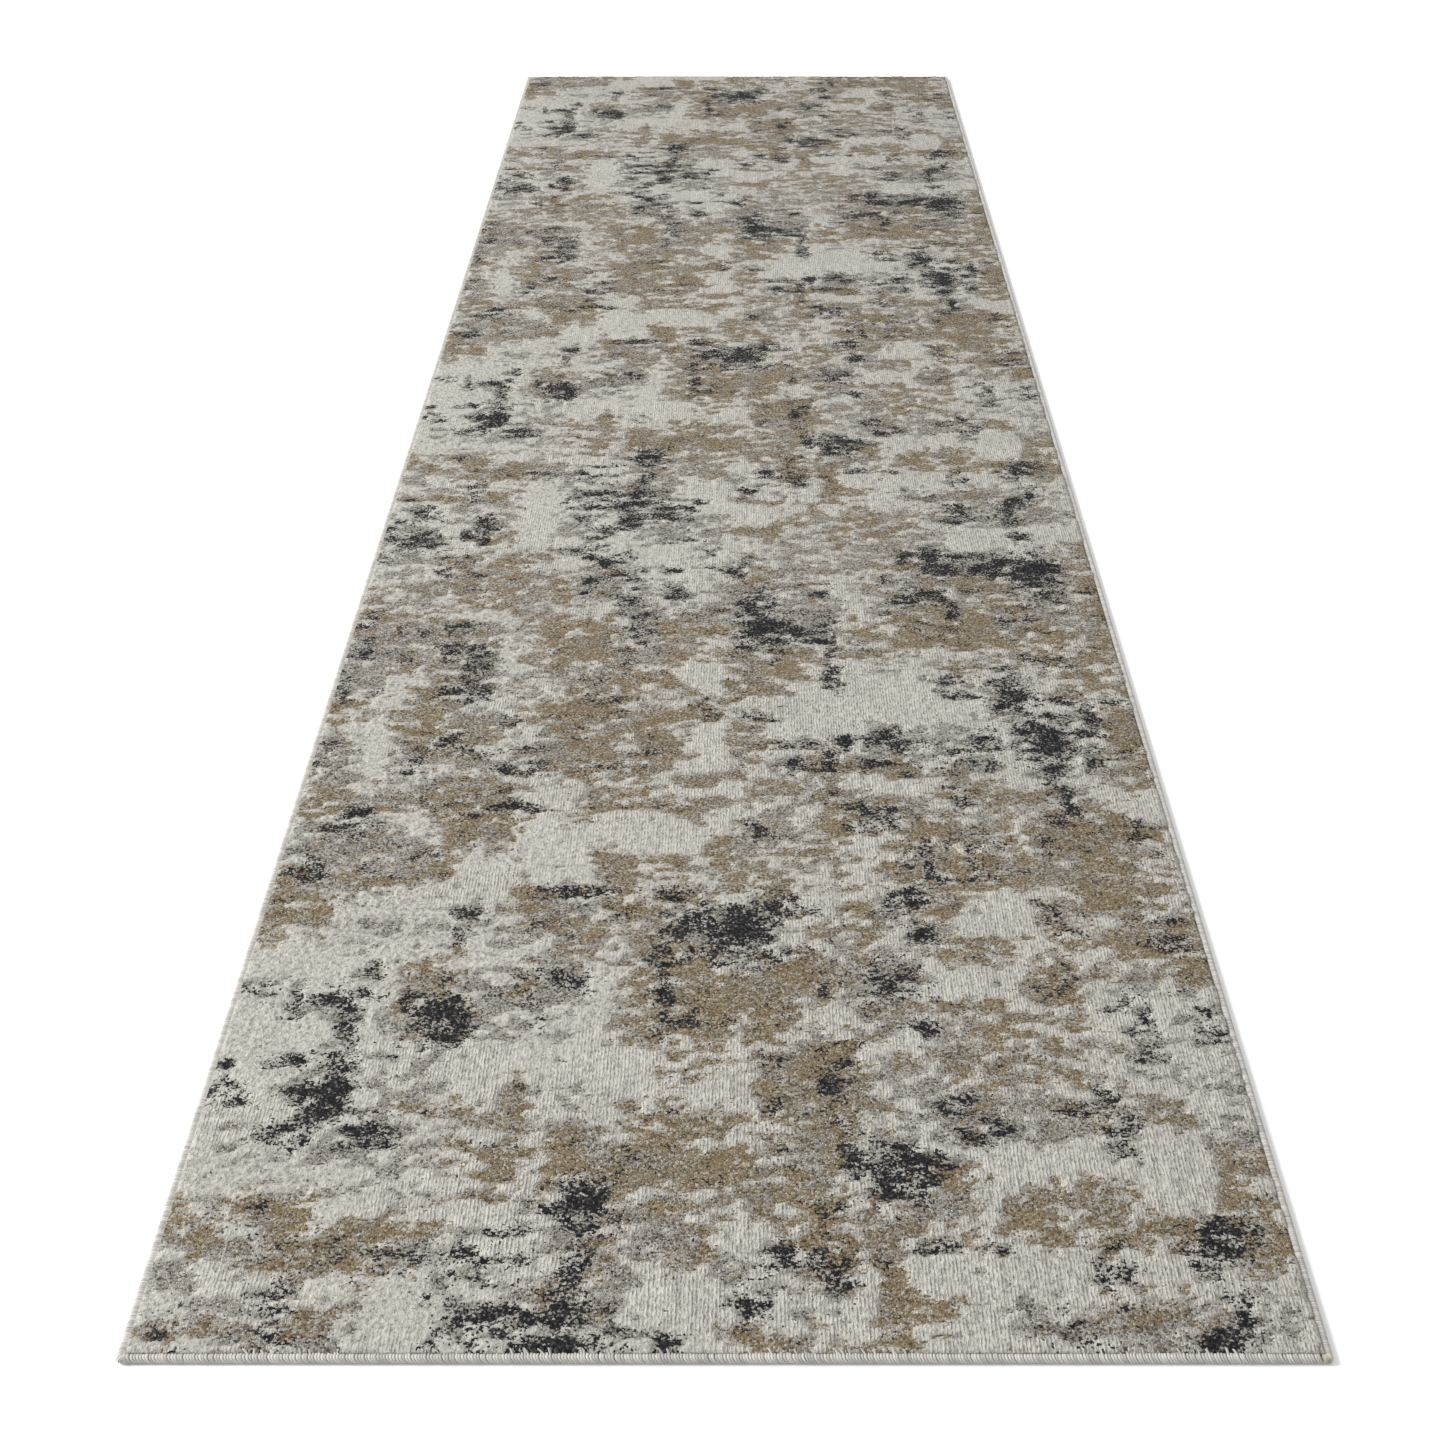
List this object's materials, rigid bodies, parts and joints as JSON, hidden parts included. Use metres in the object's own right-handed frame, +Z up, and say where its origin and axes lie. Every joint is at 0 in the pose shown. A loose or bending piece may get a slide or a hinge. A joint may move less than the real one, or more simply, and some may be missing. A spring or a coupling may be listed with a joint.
{
  "type": "runner rug",
  "caption": "Long narrow machine-woven runner rug with a cut-pile face, woven ground, latex back coat and yarn-serged edges, lying flat.",
  "frame": {"origin": "on the floor under the middle of the rug", "axes": "+X across the rug's width to the right, +Y along its length to the far end, +Z up, pile side up"},
  "size_m": [0.8, 3, 0.008],
  "materials": {
    "pile_yarn": "cut pile with raised ribbed cream patches; cream, grey, taupe and charcoal yarns",
    "ground_weave": "jute and cotton weave, matt",
    "latex_coat": "thin dried latex film, satin",
    "serging_yarn": "off-white bulked yarn, matt with a slight sheen",
    "filler_cord": "plain undyed cord"
  },
  "bodies": {
    "root": {"pile_field": "pile_yarn", "ground_weave": "ground_weave", "back_coat": "latex_coat", "serging_left": "serging_yarn", "serging_right": "serging_yarn", "serging_near": "serging_yarn", "serging_far": "serging_yarn", "edge_cord_left": "filler_cord", "edge_cord_right": "filler_cord", "edge_cord_near": "filler_cord", "edge_cord_far": "filler_cord", "corner_tack_near_left": "serging_yarn", "corner_tack_near_right": "serging_yarn", "corner_tack_far_left": "serging_yarn", "corner_tack_far_right": "serging_yarn"}
  },
  "joints": []
}
